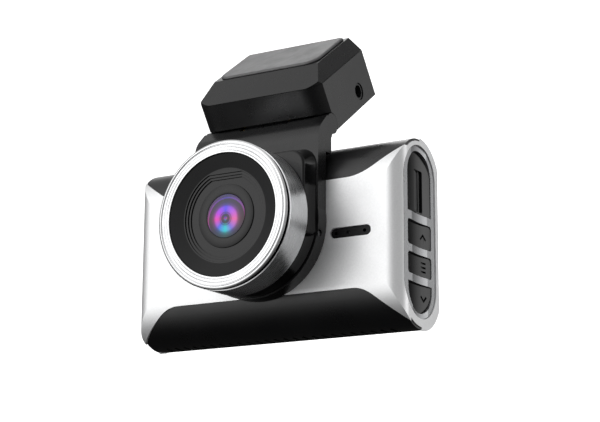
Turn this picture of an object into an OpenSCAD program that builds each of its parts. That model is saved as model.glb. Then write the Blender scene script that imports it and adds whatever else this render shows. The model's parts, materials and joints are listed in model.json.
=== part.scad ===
// Dash camera on a windscreen mount.
// Millimetres. +X is the camera's right end (card slot and buttons), the lens looks along -Y, +Z is up.
// The file's origin is the centre of the adhesive pad. Camera dimensions are written in a second
// frame, "camera", whose origin is the lens axis where it meets the silver front face.

/* [Body] */
// Width over both silver ends
body_w = 85.8; // [80:0.2:100]
// Depth, front face to rear face; top and bottom are full half-rounds of this diameter
body_d = 24; // [22:0.5:28]
// Height, top to bottom
body_h = 53.4; // [50:0.2:62]
// How far the lens axis sits above the middle of the body
axis_up = 3.5; // [0:0.1:5]
// Silver shell wall
shell_t = 1.5; // [1.2:0.1:2]
// How far the silver stands proud of the black covers
cover_step = 0.3; // [0.2:0.05:0.8]
// Plan radius of the front vertical corners
corner_front = 4.5; // [3:0.5:6]
// Plan radius of the rear vertical corners
corner_rear = 1.6; // [1:0.1:4]

/* [Cover edges] */
// Upper silver edge height above the lens axis, in the middle
upper_edge = 11.5; // [9:0.5:13]
// Lower silver edge height below the lens axis, in the middle
lower_edge = 19.2; // [17:0.2:21]
// Slope of the upper edge near the ends
upper_slope = 0.66; // [0.4:0.02:0.9]
// Slope of the lower edge near the ends
lower_slope = 0.8; // [0.4:0.02:1]
// Number of ventilation slots along the underside
vent_count = 25; // [11:2:31]
// Spacing of the ventilation slots
vent_pitch = 3.05; // [2.6:0.05:3.2]
// Length of each ventilation slot
vent_len = 7; // [4:0.5:9]

/* [Lens] */
// Radius of the chrome ring and barrel
ring_r = 20.5; // [18:0.1:22]
// Radius of the dark glass inside the ring
glass_r = 16.9; // [15:0.1:18]
// Front of the ring, ahead of the silver face
ring_front = 21; // [18:0.1:24]
// Back of the barrel, ahead of the silver face
barrel_back = 9.9; // [8:0.1:12]
// Thickness of the ring's outer edge
ring_t = 0.5; // [0.4:0.1:1]
// Dark gap between the ring and the barrel
ring_gap = 1.2; // [0.6:0.1:2]
// Radius of the lens cell
cell_r = 8.6; // [8:0.1:10]
// Radius of the dark carrier behind the ring
carrier_r = 18.9; // [18:0.1:19.5]
// Radius of the front glass element
element_r = 6; // [5:0.1:7]

/* [Arm and mount] */
// Half width of the arm
arm_half = 20.3; // [19:0.1:22]
// Front of the arm, ahead of the silver face
arm_front = 4.4; // [3.5:0.1:5]
// Slope of the mount and its pad against the horizontal, as the camera hangs
mount_tilt = 36.2; // [30:0.1:40]
// Half width of the mount block
block_half = 20.2; // [19:0.1:22]
// Length of the mount block along its slope
block_len = 31; // [28:0.5:34]
// Height of the mount block's upright sides
block_side = 14.3; // [12:0.1:16]
// Height of the mount block's top face
block_top = 18.6; // [17:0.1:20]
// Adhesive pad thickness
pad_t = 0.8; // [0.5:0.1:1.5]
// Radius of the power socket's bore
jack_r = 1.8; // [1.7:0.05:2]
// Radius of the hinge pin
pin_r = 1.25; // [1:0.05:1.5]

/* [Card and buttons] */
// Memory card width
card_w = 11; // [11:0.1:11.2]
// Memory card length
card_l = 15; // [15:0.1:15.2]
// Memory card thickness
card_t = 1; // [0.8:0.1:1]
// Button travel
press = 0.4; // [0.3:0.05:0.5]

/* [Hidden] */
$fn = 64;
gap = 0.1;                          // between neighbouring solids of one body
slip = 0.15;                        // between solids that move past each other
half_w = body_w / 2;
round_r = body_d / 2;               // section's half-round radius, also its centre depth
mid_z = -axis_up;                   // middle of the body
top_z = mid_z + body_h / 2;
bot_z = mid_z - body_h / 2;
top_c = top_z - round_r;            // centre height of the upper half-round
bot_c = bot_z + round_r;            // centre height of the lower half-round
cheek_x = half_w - shell_t;         // inner face of the silver ends
rim_t = 0.35;                       // silver rim outside the covers
cover_x = half_w - rim_t - gap;     // end of the black covers
cover_in = cover_step + 1.5;        // inner skin of the black covers
lip_in = cover_step + 0.6;          // inner skin of their lip round the silver ends
lip_l = 1.85;                       // length of that lip
seam_y = 17.5;                      // where the black covers meet the rear housing
edge_x0 = 26.5;                     // upper edge starts to rise
edge_blend = 9;
low_x0 = 28.5;                      // lower edge starts to fall
low_blend = 6;
curve_steps = 14;
// mount frame: u runs up the slope and away from the road, n is square to the pad
mount_y = 3.14;
mount_z = 24.67;
hinge_u = 2.6;
hinge_n = 2.9;
knuckle_r = 2.9;
socket_r = knuckle_r + 0.25;
face_u = 1.2;                       // block's front face
floor_n = 0.3;                      // block's underside
end_u = face_u + block_len;
top_u = 10.3;                       // where the top face starts
top_in = 2.9;                       // how far the side chamfers lean in
block_round = 8;                    // soft front corners
block_round_x = 6.2;                // how far in from the sides they start
post_x = 15.5;                      // screw posts
post_u = [11.5, 28];
post_r = 2;
wall = 1.8;                         // block wall
pad_u0 = 10.5;
pad_u1 = 31.6;
pad_half = 16.4;
pad_u = (pad_u0 + pad_u1) / 2;
pad_y = mount_y + pad_u * cos(mount_tilt) - (block_top + pad_t) * sin(mount_tilt);
pad_z = mount_z + pad_u * sin(mount_tilt) + (block_top + pad_t) * cos(mount_tilt);
jack_u = 23.3;
jack_n = 4.7;
jack_nose_r = 2.4;
jack_half = 2.6;
jack_depth = 12;                    // barrel bore behind the side face
lug_half = 7;                       // block's lug between the arm's two ears
washer_t = 0.6;
neck_r = 7;                         // bend of the neck
neck_bend = 22.4;                   // height where the bend starts
ear_x = lug_half + washer_t + 2 * slip;
pin_half = 16.5;
// right-hand end
panel_y = 12;
panel_half = 9.2;
panel_top = 21.1;
panel_bot = -27;
win_half = 7;
bay_top = 19.5;
bay_bot = 1.8;
up_top = -0.5;
up_bot = -7.4;
menu_top = -9.4;
menu_bot = -15.3;
down_top = -17.4;
down_bot = -25.5;
card_y = 13.1;
card_z = 8.6;
card_out = 41.1;                    // outer edge of the seated card
socket_back = card_out - card_l - 1.2; // back wall of the card socket, leaves room for the push
button_face = 42.4;
flange_x = 41;                      // outer face of the button flanges
flange_t = 1.2;
flange_grow = 0.6;
dish_t = 0.8;                       // hollow of the bay and keys
dish_r = (pow(win_half, 2) + pow(dish_t, 2)) / (2 * dish_t);
sign_y = panel_y + 3.5;             // the keys' signs sit behind their middle
sign_x = button_face - dish_t + dish_r - sqrt(pow(dish_r, 2) - pow(sign_y - panel_y, 2));
sign_cut = 0.7;                     // thickness of the cutters that engrave them
board_x = 37.2;                     // side board
pill_x0 = 21.6;
pill_x1 = 34.1;
pill_z = -3.7;
pill_r = 1.45;
vent_y = 12.2;                      // middle of the ventilation slots
screw_spot = [14.5, 8.8];           // screws that hold the arm to the body
case_spots = [for (s = [-1, 1], p = [[20, 17.2], [32, -23.7]]) [s * p[0], p[1]]];
glass_half = 33.5;                  // display window
glass_z = [-20.9, 14.3];
board_y = 14.4;                     // main board
board_t = 1.2;
shield_t = 0.4;                     // metal of the processor shield
cap_r = 4;                          // backup capacitors
cap_h = 20;
speaker_r = 7.5;
speaker_at = [22, -14.5];
screw_r = 0.95;                     // threads of the case screws
head_r = 1.5;                       // their heads and the mount screws' heads
thread_r = 0.82;                    // threads of the mount screws
case_post_r = 2.1;
case_seat = 19.4;                   // depth where the rear screws' heads sit

// ---- frames ----
module camera() {
    translate([0, -pad_y, -pad_z]) children();
}

module mount() {
    camera() translate([0, mount_y, mount_z]) rotate([mount_tilt, 0, 0]) children();
}

// a (depth, height) outline pushed along X
module along_x(x0, x1) {
    rotate([90, 0, 90]) translate([0, 0, x0]) linear_extrude(x1 - x0) children();
}

// an (across, height) outline pushed along Y
module along_y(y0, y1) {
    translate([0, y1, 0]) rotate([90, 0, 0]) linear_extrude(y1 - y0) children();
}

// a (radius, distance ahead of the silver face) outline turned about the lens axis
module about_lens() {
    rotate([90, 0, 0]) rotate_extrude() children();
}

module x_rod(r, x0, x1, y, z) {
    translate([x0, y, z]) rotate([0, 90, 0]) cylinder(r = r, h = x1 - x0);
}

module y_rod(r, y0, y1, x, z) {
    translate([x, y1, z]) rotate([90, 0, 0]) cylinder(r = r, h = y1 - y0);
}

module block(x0, x1, y0, y1, z0, z1) {
    translate([x0, y0, z0]) cube([x1 - x0, y1 - y0, z1 - z0]);
}

// rectangle from x0,y0 to x1,y1 with one corner radius
module round_rect(x0, x1, y0, y1, r) {
    translate([x0 + r, y0]) square([x1 - x0 - 2 * r, y1 - y0]);
    translate([x0, y0 + r]) square([x1 - x0, y1 - y0 - 2 * r]);
    for (x = [x0 + r, x1 - r], y = [y0 + r, y1 - r])
        translate([x, y]) circle(r);
}

// upright slot with round ends
module stadium(yc, half, z0, z1) {
    round_rect(yc - half, yc + half, z0, z1, half - 0.01);
}

// ---- the body's outer form ----
module section(inset) {
    r = round_r - inset;
    translate([inset, bot_c]) square([2 * r, top_c - bot_c]);
    for (z = [bot_c, top_c])
        translate([round_r, z]) circle(r, $fn = 128);
}

module plan(inset) {
    x = half_w - inset;
    rf = corner_front - inset;
    rr = max(corner_rear - inset, 0.2);
    y1 = body_d - inset;
    translate([-x + rf, inset]) square([2 * (x - rf), body_d / 2]);
    translate([-x, inset + rf]) square([2 * x, y1 - rr - inset - rf]);
    translate([-x + rr, body_d / 2]) square([2 * (x - rr), y1 - body_d / 2]);
    for (s = [-1, 1]) {
        translate([s * (x - rf), inset + rf]) circle(rf);
        translate([s * (x - rr), y1 - rr]) circle(rr);
    }
}

module form(inset) {
    intersection() {
        along_x(-half_w + inset, half_w - inset) section(inset);
        translate([0, 0, bot_z]) linear_extrude(body_h) plan(inset);
    }
}

module skin(outer, inner) {
    difference() {
        form(outer);
        form(inner);
    }
}

// rise of a cover edge: level, then a soft bend into a straight slope
function edge_rise(x, x0, blend, slope) =
    x < x0 ? 0
    : x < x0 + blend ? slope * pow(x - x0, 2) / (2 * blend)
    : slope * (blend / 2 + x - x0 - blend);
function upper(x) = upper_edge + edge_rise(abs(x), edge_x0, edge_blend, upper_slope);
function lower(x) = -lower_edge - edge_rise(abs(x), low_x0, low_blend, lower_slope);
function edge_run(x0) = [for (i = [0 : curve_steps]) x0 + (half_w + 1 - x0) * i / curve_steps];
function edge_path(x0, f, lift) = concat(
    [for (i = [curve_steps : -1 : 0]) [-edge_run(x0)[i], f(edge_run(x0)[i]) + lift]],
    [for (x = edge_run(x0)) [x, f(x) + lift]]);

// everything above the upper edge / below the lower edge, seen from the front
module above_edge(lift) {
    polygon(concat(edge_path(edge_x0, function (x) upper(x), lift),
                   [[half_w + 1, top_z + 5], [-half_w - 1, top_z + 5]]));
}

module below_edge(lift) {
    polygon(concat(edge_path(low_x0, function (x) lower(x), -lift),
                   [[half_w + 1, bot_z - 5], [-half_w - 1, bot_z - 5]]));
}

// ---- camera case ----
module front_shell() {
    color([0.78, 0.79, 0.8]) camera() difference() {
        union() {
            // silver front between the two curved edges
            difference() {
                intersection() {
                    skin(0, shell_t);
                    block(-half_w, half_w, -1, 6, bot_z, top_z);
                }
                along_y(-2, 8) above_edge(0);
                along_y(-2, 8) below_edge(0);
            }
            for (s = [-1, 1]) {
                // thin silver rim behind the crown
                intersection() {
                    form(0);
                    block(-half_w, half_w, round_r + gap, body_d, bot_z, top_z);
                    translate([s * half_w, 0, 0]) cube([2 * rim_t, 100, 100], center = true);
                }
                // silver end, inside the covers' lip
                intersection() {
                    form(0);
                    along_x(-half_w, half_w) section(lip_in + gap);
                    translate([s * half_w, 0, 0]) cube([2 * shell_t, 100, 100], center = true);
                }
            }
        }
        // right end opens for the card bay and buttons
        along_x(cheek_x - 1, half_w + 1) stadium(panel_y, panel_half, panel_bot, panel_top);
        // lens cell
        y_rod(cell_r + 0.6, -1, 3, 0, 0);
        // microphone grille
        along_y(-1, 3) round_rect(pill_x0, pill_x1, pill_z - pill_r, pill_z + pill_r, pill_r - 0.01);
        for (x = [-1, 1], z = [-1, 1])
            y_rod(1.15, -1, 3, x * screw_spot[0], z * screw_spot[1]);
    }
}

// plan of the black covers between two depths: in front of the crown they run out to the very ends
module cover_plan(y0, y1) {
    translate([-cover_x, y0]) square([2 * cover_x, y1 - y0]);
    if (y0 < round_r)
        translate([-half_w, y0]) square([2 * half_w, round_r - y0]);
}

// shell of the black covers between two depths, thinned to a lip round the silver ends
module cover_band(y0, y1) {
    difference() {
        intersection() {
            skin(cover_step, cover_in);
            translate([0, 0, bot_z - 1]) linear_extrude(body_h + 2) cover_plan(y0, y1);
        }
        for (s = [-1, 1])
            intersection() {
                along_x(-half_w, half_w) section(lip_in);
                translate([s * half_w, 0, 0]) cube([2 * lip_l, 100, 100], center = true);
            }
    }
}

module top_cover() {
    color([0.09, 0.09, 0.1]) camera() intersection() {
        cover_band(-1, seam_y - gap);
        union() {
            along_y(-2, 6.05) above_edge(gap);
            block(-half_w, half_w, 6, 30, upper_edge + gap, top_z + 1);
        }
    }
}

module bottom_cover() {
    color([0.09, 0.09, 0.1]) camera() difference() {
        intersection() {
            cover_band(-1, seam_y - gap);
            union() {
                along_y(-2, 6.05) below_edge(gap);
                block(-half_w, half_w, 6, 30, bot_z - 1, -lower_edge - gap);
            }
        }
        // slanted ventilation slots through the underside
        for (i = [0 : vent_count - 1])
            translate([(i - (vent_count - 1) / 2) * vent_pitch, vent_y, bot_z])
                rotate([0, 0, -25]) cube([1.1, vent_len, 7], center = true);
    }
}

module rear_housing() {
    color([0.08, 0.08, 0.09]) camera() difference() {
        union() {
            cover_band(seam_y, body_d + 1);
            // screw posts
            for (p = case_spots)
                y_rod(case_post_r, 12, case_seat + 1, p[0], p[1]);
        }
        along_y(12, body_d + 1)
            round_rect(-glass_half - gap, glass_half + gap, glass_z[0] - gap, glass_z[1] + gap, 1.5);
        for (p = case_spots) {
            y_rod(screw_r + gap, 11, body_d + 1, p[0], p[1]);
            y_rod(head_r + gap, case_seat, body_d + 1, p[0], p[1]);
        }
    }
}

module case_screws() {
    color([0.35, 0.35, 0.37]) camera()
        for (p = case_spots)
            difference() {
                union() {
                    y_rod(screw_r, 12.5, case_seat + 0.2, p[0], p[1]);
                    y_rod(head_r, case_seat + 0.05, case_seat + 0.9, p[0], p[1]);
                }
                // cross recess
                for (a = [0, 90])
                    translate([p[0], case_seat + 0.9, p[1]]) rotate([0, a, 0])
                        cube([1.8, 0.8, 0.4], center = true);
            }
}

module display_glass() {
    color([0.03, 0.03, 0.04]) camera()
        along_y(body_d - 1.8, body_d - 0.7) round_rect(-glass_half, glass_half, glass_z[0], glass_z[1], 1.4);
}

module display_panel() {
    color([0.12, 0.13, 0.15]) camera() difference() {
        block(-glass_half + 0.5, glass_half - 0.5, 18.9, body_d - 1.9,
              glass_z[0] + 0.5, glass_z[1] - 0.5);
        // cable notch
        block(-8, 8, 18, 19.6, -21, -17.5);
    }
}

// ---- right-hand end ----
module windows(grow) {
    bay_window(grow);
    key_window(up_bot, up_top, grow);
    key_window(menu_bot, menu_top, grow);
    down_window(grow);
}

module bay_window(grow) {
    r = win_half + grow;
    translate([panel_y, bay_top - win_half]) circle(r);
    translate([panel_y - r, bay_bot - grow]) square([2 * r, bay_top - win_half - bay_bot + grow]);
}

module key_window(z0, z1, grow) {
    round_rect(panel_y - win_half - grow, panel_y + win_half + grow, z0 - grow, z1 + grow, 1);
}

module down_window(grow) {
    r = win_half + grow;
    intersection() {
        union() {
            translate([panel_y, down_bot + win_half]) circle(r);
            translate([panel_y - r, down_bot + win_half]) square([2 * r, r]);
        }
        translate([panel_y - r, down_bot - grow]) square([2 * r, down_top - down_bot + 2 * grow]);
    }
}

module end_trim() {
    color([0.72, 0.73, 0.74]) camera() difference() {
        along_x(cheek_x + gap, half_w - 0.3) difference() {
            stadium(panel_y, panel_half - gap, panel_bot + gap, panel_top - gap);
            windows(0);
        }
        // the middle of the trim is dished
        translate([half_w + 33.6, panel_y, 0]) cylinder(r = 34.2, h = 80, center = true, $fn = 128);
    }
}

// upright hollow in the outer faces of the bay and keys
module face_dish() {
    translate([button_face + dish_r - dish_t, panel_y, 0])
        cylinder(r = dish_r, h = 80, center = true, $fn = 128);
}

module card_bay() {
    color([0.05, 0.05, 0.055]) camera() difference() {
        union() {
            along_x(cheek_x - gap, button_face) bay_window(-gap);
            along_x(cheek_x - 1.5, cheek_x - gap) bay_window(0.9);
        }
        face_dish();
        // recess round the slot
        along_x(button_face - dish_t - 0.35, half_w) round_rect(card_y - 2.3, card_y + 2.3,
            card_z - card_w / 2 - 0.4, card_z + card_w / 2 + 0.4, 0.6);
        // card slot
        block(cheek_x - 3, half_w, card_y - card_t / 2 - slip, card_y + card_t / 2 + slip,
              card_z - card_w / 2 - slip, card_z + card_w / 2 + slip);
    }
}

// a key: first child is its face outline, second its flange outline
module key(z) {
    along_x(flange_x - gap, button_face) children(0);
    along_x(flange_x - flange_t, flange_x - gap) children(1);
    // plunger that meets the switch
    x_rod(1.6, board_x + 1.9 + press + slip, flange_x - flange_t + 0.1, panel_y, z);
}

module button_up() {
    color([0.1, 0.1, 0.11]) camera() difference() {
        key((up_bot + up_top) / 2) {
            key_window(up_bot, up_top, -slip);
            key_window(up_bot, up_top, flange_grow);
        }
        face_dish();
        // chevron
        for (s = [-1, 1])
            translate([sign_x, sign_y + s * 0.62, (up_bot + up_top) / 2])
                rotate([s * 45, 0, 0]) cube([sign_cut, 0.55, 2], center = true);
    }
}

module button_menu() {
    color([0.1, 0.1, 0.11]) camera() difference() {
        key((menu_bot + menu_top) / 2) {
            key_window(menu_bot, menu_top, -slip);
            key_window(menu_bot, menu_top, flange_grow);
        }
        face_dish();
        // three bars
        for (i = [-1, 0, 1])
            translate([sign_x, sign_y, (menu_bot + menu_top) / 2 + i * 1.2])
                cube([sign_cut, 2.4, 0.5], center = true);
    }
}

module button_down() {
    color([0.1, 0.1, 0.11]) camera() difference() {
        key((down_bot + down_top) / 2) {
            down_window(-slip);
            down_window(flange_grow);
        }
        face_dish();
        // chevron
        for (s = [-1, 1])
            translate([sign_x, sign_y + s * 0.62, (down_bot + down_top) / 2 + 0.4])
                rotate([-s * 45, 0, 0]) cube([sign_cut, 0.55, 2], center = true);
    }
}

module tact_switches() {
    color([0.6, 0.6, 0.62]) camera()
        for (z = [(up_bot + up_top) / 2, (menu_bot + menu_top) / 2, (down_bot + down_top) / 2]) {
            block(board_x + gap, board_x + 1.3, panel_y - 1.5, panel_y + 1.5, z - 1.5, z + 1.5);
            x_rod(0.9, board_x + 1.2, board_x + 1.9, panel_y, z);
        }
}

module side_board() {
    color([0.05, 0.25, 0.15]) camera() block(board_x - 1, board_x, 5.2, 16.4, -24.5, -1);
}

module card_socket() {
    color([0.75, 0.75, 0.76]) camera() difference() {
        block(socket_back - 0.4, cheek_x - 1.6, card_y - 1.1, card_y + 1.1, card_z - 6.6, card_z + 6.6);
        block(socket_back, cheek_x, card_y - card_t / 2 - slip, card_y + card_t / 2 + slip,
              card_z - card_w / 2 - slip, card_z + card_w / 2 + slip);
    }
}

module memory_card() {
    color([0.06, 0.06, 0.06]) camera() difference() {
        block(card_out - card_l, card_out, card_y - card_t / 2, card_y + card_t / 2,
              card_z - card_w / 2, card_z + card_w / 2);
        // notch along one edge
        block(card_out - card_l - 1, card_out - 6.5, card_y - 1, card_y + 1,
              card_z + card_w / 2 - 1.2, card_z + card_w / 2 + 1);
        // finger lip
        block(card_out - 0.9, card_out - 0.45, card_y + card_t / 2 - 0.2, card_y + 1,
              card_z - card_w / 2 - 1, card_z + card_w / 2 + 1);
    }
}

// ---- electronics ----
module main_board() {
    color([0.04, 0.22, 0.14]) camera() difference() {
        block(-39, 36, board_y, board_y + board_t, -24, 15);
        for (p = case_spots)
            y_rod(case_post_r + 0.4, board_y - 1, board_y + 2, p[0], p[1]);
    }
}

module processor_shield() {
    color([0.7, 0.71, 0.72]) camera() difference() {
        block(-13, 9, board_y - 3, board_y - gap, -16, 6);
        block(-13 + shield_t, 9 - shield_t, board_y - 3 + shield_t, board_y + 1,
              -16 + shield_t, 6 - shield_t);
    }
}

module backup_capacitors() {
    color([0.1, 0.12, 0.3]) camera()
        for (x = [-33, -24])
            translate([x, 9.6, -13]) cylinder(r = cap_r, h = cap_h);
}

module speaker() {
    color([0.2, 0.2, 0.2]) camera() difference() {
        y_rod(speaker_r, 8.6, board_y - gap, speaker_at[0], speaker_at[1]);
        y_rod(speaker_r - 1.3, 8, 9.4, speaker_at[0], speaker_at[1]);
    }
}

module microphone() {
    color([0.55, 0.55, 0.5]) camera() y_rod(2, 2.2, 4.4, 28, pill_z);
}

module mic_grille() {
    color([0.03, 0.03, 0.03]) camera() difference() {
        along_y(0.5, 2) round_rect(pill_x0 + gap, pill_x1 - gap, pill_z - pill_r + gap,
                                   pill_z + pill_r - gap, pill_r - gap - 0.01);
        for (x = [pill_x0 + 1.6, (pill_x0 + pill_x1) / 2 - 1, pill_x1 - 2.2])
            y_rod(0.5, 0, 3, x, pill_z);
    }
}

// ---- lens ----
module lens_base() {
    color([0.05, 0.05, 0.055]) camera() difference() {
        along_y(-barrel_back + gap, -arm_front - gap) union() {
            circle(ring_r - 0.7, $fn = 128);
            round_rect(-19.6, 19.6, 0, 19.5, 4.5);
            translate([-19.6, 0]) square([39.2, 10]);
        }
        y_rod(cell_r + 0.6, -30, 30, 0, 0);
    }
}

module lens_barrel() {
    color([0.76, 0.77, 0.78]) camera() about_lens() difference() {
        translate([cell_r + 0.2, barrel_back])
            square([ring_r - cell_r - 0.2, ring_front - ring_t - ring_gap - barrel_back]);
        translate([cell_r + 2, barrel_back + 1.6]) square([ring_r - cell_r - 3.6, 20]);
        translate([0, ring_front - 4]) square([cell_r + 3, 20]);
    }
}

module lens_ring() {
    color([0.88, 0.88, 0.9]) camera() about_lens() difference() {
        polygon([[glass_r + 0.1, ring_front - ring_t - 0.1], [ring_r, ring_front - ring_t - 0.1],
                 [ring_r, ring_front - 0.35], [ring_r - 0.7, ring_front - 0.05],
                 [glass_r + 0.1, ring_front]]);
        // three fine turned grooves
        for (g = [[0.62, 0.2], [1.5, 0.2], [2.45, 0.3]])
            translate([glass_r + g[0], ring_front - 0.25]) square([g[1], 1]);
    }
}

module lens_trim() {
    color([0.04, 0.04, 0.045]) camera() about_lens()
        polygon([[element_r + 0.15, ring_front - 2.5], [cell_r, ring_front - 2.5],
                 [cell_r + 0.1, ring_front - 2.6], [11.3, ring_front - 2.6],
                 [11.3, ring_front - 2.3], [12, ring_front - 2.3], [12, ring_front - 1.9],
                 [12.75, ring_front - 1.9], [12.75, ring_front - 1.6], [13.1, ring_front - 1.6],
                 [glass_r, ring_front - 0.45], [glass_r, ring_front - ring_t - 0.2],
                 // carrier behind the chrome ring, dark between the ring and the barrel
                 [carrier_r, ring_front - ring_t - 0.2], [carrier_r, ring_front - ring_t - ring_gap + 0.05],
                 [ring_r - 1.7, ring_front - ring_t - ring_gap + 0.05], [ring_r - 1.7, ring_front - 4],
                 [16, ring_front - 4], [13.2, ring_front - 3.6], [element_r + 0.15, ring_front - 3.6]]);
}

module lens_cell() {
    color([0.08, 0.08, 0.08]) camera() about_lens() difference() {
        translate([element_r - 1, -2]) square([cell_r - element_r + 1 - 0.1, ring_front - 1.7]);
        // seats for the two glass elements
        translate([0, ring_front - 6]) square([element_r + 0.1, 10]);
        translate([0, 4]) square([element_r - 0.6, 2]);
    }
}

module front_element() {
    color([0.1, 0.12, 0.25]) camera() about_lens() intersection() {
        translate([0, ring_front - 5.9]) square([element_r, 10]);
        translate([0, ring_front - 1 - 11]) circle(11, $fn = 128);
    }
}

module rear_element() {
    color([0.12, 0.16, 0.2]) camera() about_lens()
        translate([0, 4.1]) square([element_r - 0.7, 1.7]);
}

module image_sensor() {
    color([0.2, 0.18, 0.25]) camera() block(-4, 4, 2.4, 3.3, -3, 3);
}

module sensor_board() {
    color([0.04, 0.22, 0.14]) camera() block(-11, 11, 3.4, 4.6, -10, 10);
}

module sensor_flex() {
    color([0.75, 0.5, 0.2]) camera() {
        block(-4, 4, 4.7, 5, 2, 9);
        block(-4, 4, 4.7, 14.3, 9, 9.3);
    }
}

// ---- arm ----
module hinge_at() {
    translate([mount_y + hinge_u * cos(mount_tilt) - hinge_n * sin(mount_tilt),
               mount_z + hinge_u * sin(mount_tilt) + hinge_n * cos(mount_tilt)]) children();
}

// side view of the neck that rises from the arm into the mount block
module neck_side() {
    polygon(concat(
        [[-arm_front, 17]],
        // soft bend from the upright plate into the slope
        [for (a = [0 : 4 : 44]) [-arm_front + neck_r * (1 - cos(a)), neck_bend + neck_r * sin(a)]],
        [[0.4, 30.1], [4, 30.6], [5.6, 27.2], [3.6, 25.6], [2.9, 24.2], [2.9, 19.6],
         [-gap, 19.6], [-gap, 17]]));
    hinge_at() circle(knuckle_r);
}

module arm() {
    color([0.07, 0.07, 0.075]) camera() difference() {
        union() {
            // plate in front of the silver face, round about the lens at its lower end
            along_y(-arm_front, -gap) union() {
                circle(ring_r, $fn = 128);
                translate([-arm_half, 0]) square([2 * arm_half, 18]);
            }
            along_x(-arm_half, arm_half) neck_side();
        }
        // room for the block's lug
        along_x(-ear_x, ear_x) hinge_at() circle(socket_r);
        along_x(-ear_x, ear_x) hinge_at() translate([-4, 0]) square([8, 6]);
        // pin bore, closed at both ends
        along_x(-pin_half - 0.1, pin_half + 0.1) hinge_at() circle(pin_r + 0.02);
        y_rod(cell_r + 0.6, -10, 10, 0, 0);
        for (x = [-1, 1], z = [-1, 1])
            y_rod(0.85, -3.6, 1, x * screw_spot[0], z * screw_spot[1]);
        for (s = [-1, 1])
            x_rod(0.95, s > 0 ? arm_half - 3 : -arm_half - 1, s > 0 ? arm_half + 1 : -arm_half + 3,
                  -3.05, -3.9);
    }
}

module arm_screws() {
    color([0.4, 0.4, 0.42]) camera()
        for (x = [-1, 1], z = [-1, 1]) {
            y_rod(0.8, -3.4, 1.7, x * screw_spot[0], z * screw_spot[1]);
            y_rod(1.8, 1.6, 2.6, x * screw_spot[0], z * screw_spot[1]);
        }
}

module arm_side_screws() {
    color([0.15, 0.15, 0.16]) camera()
        for (s = [-1, 1])
            difference() {
                x_rod(0.9, s > 0 ? arm_half - 2.9 : -arm_half + 0.5,
                      s > 0 ? arm_half - 0.5 : -arm_half + 2.9, -3.05, -3.9);
                translate([s * (arm_half - 0.5), -3.05, -3.9]) cube([0.8, 0.25, 1.2], center = true);
            }
}

module hinge_pin() {
    color([0.7, 0.7, 0.72]) camera() along_x(-pin_half, pin_half) hinge_at() circle(pin_r);
}

module friction_washers() {
    color([0.6, 0.55, 0.4]) camera()
        for (s = [-1, 1])
            along_x(s > 0 ? lug_half + slip / 2 : -lug_half - slip / 2 - washer_t,
                    s > 0 ? lug_half + slip / 2 + washer_t : -lug_half - slip / 2)
                hinge_at() difference() {
                    circle(knuckle_r - 0.2);
                    circle(pin_r + 0.05);
                }
}

// ---- mount ----
module block_side_view(inset) {
    polygon([[face_u + inset, floor_n + inset], [face_u + inset, block_side - inset / 2],
             [top_u + inset / 2, block_top - inset], [end_u - inset, block_top - inset],
             [end_u + 0.2 - inset, floor_n + inset]]);
}

module block_front_view(inset) {
    h = block_half - inset;
    polygon([[-h, -5], [-h, block_side - inset / 2], [-h + top_in, block_top - inset],
             [h - top_in, block_top - inset], [h, block_side - inset / 2], [h, -5]]);
}

// plan outline: soft front corners that meet the flat sides at an edge
module block_plan(inset) {
    x = block_half - block_round_x;
    y = face_u + block_round;
    translate([-x, face_u + inset]) square([2 * x, block_round]);
    translate([-block_half, y]) square([2 * block_half, end_u + 0.2 - inset - y]);
    for (s = [-1, 1])
        translate([s * x, y]) circle(block_round - inset);
}

module block_form(inset) {
    intersection() {
        along_x(-block_half, block_half) block_side_view(inset);
        along_y(-5, end_u + 5) block_front_view(inset);
        translate([0, 0, -6]) linear_extrude(40) block_plan(inset);
    }
}

// mouth under the block's front edge, where the arm comes out
module neck_mouth() {
    along_x(-block_half - 1, block_half + 1)
        polygon([[face_u - 5, floor_n - 5], [face_u - 5, hinge_n + 3.6], [face_u + 0.6, hinge_n + 3.6],
                 [hinge_u + 1.6, hinge_n], [hinge_u + 1.6, floor_n - 5]]);
}

module mount_housing() {
    color([0.11, 0.11, 0.12]) mount() difference() {
        union() {
            difference() {
                union() {
                    difference() {
                        block_form(0);
                        block_form(wall);
                    }
                    // wall round the hinge socket
                    intersection() {
                        block_form(0);
                        along_x(-block_half - 1, block_half + 1)
                            translate([hinge_u, hinge_n]) circle(socket_r + 1.2);
                    }
                    // screw posts
                    for (x = [-post_x, post_x], u = post_u)
                        translate([x, u, 1]) cylinder(r = post_r, h = block_side - 1.1);
                }
                block(-block_half - 1, block_half + 1, -5, end_u + 5, block_side, block_top + 5);
                along_x(-block_half - 1, block_half + 1)
                    translate([hinge_u, hinge_n]) circle(socket_r);
                neck_mouth();
            }
            // hinge lug
            along_x(-lug_half, lug_half) union() {
                translate([hinge_u, hinge_n]) circle(knuckle_r);
                translate([hinge_u, hinge_n]) square([2, socket_r + 0.6]);
            }
        }
        along_x(-lug_half - 1, lug_half + 1) translate([hinge_u, hinge_n]) circle(pin_r + 0.05);
        // power socket
        x_rod(jack_nose_r + gap, block_half - 4, block_half + 1, jack_u, jack_n);
        for (x = [-post_x, post_x], u = post_u)
            translate([x, u, -1]) {
                cylinder(r = thread_r + 0.08, h = 40);
                cylinder(r = head_r + gap, h = 3.6);
            }
    }
}

module mount_screws() {
    color([0.4, 0.4, 0.42]) mount()
        for (x = [-post_x, post_x], u = post_u) {
            translate([x, u, 1]) cylinder(r = head_r, h = 1.5);
            translate([x, u, 2.4]) cylinder(r = thread_r, h = 12.6);
        }
}

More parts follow.
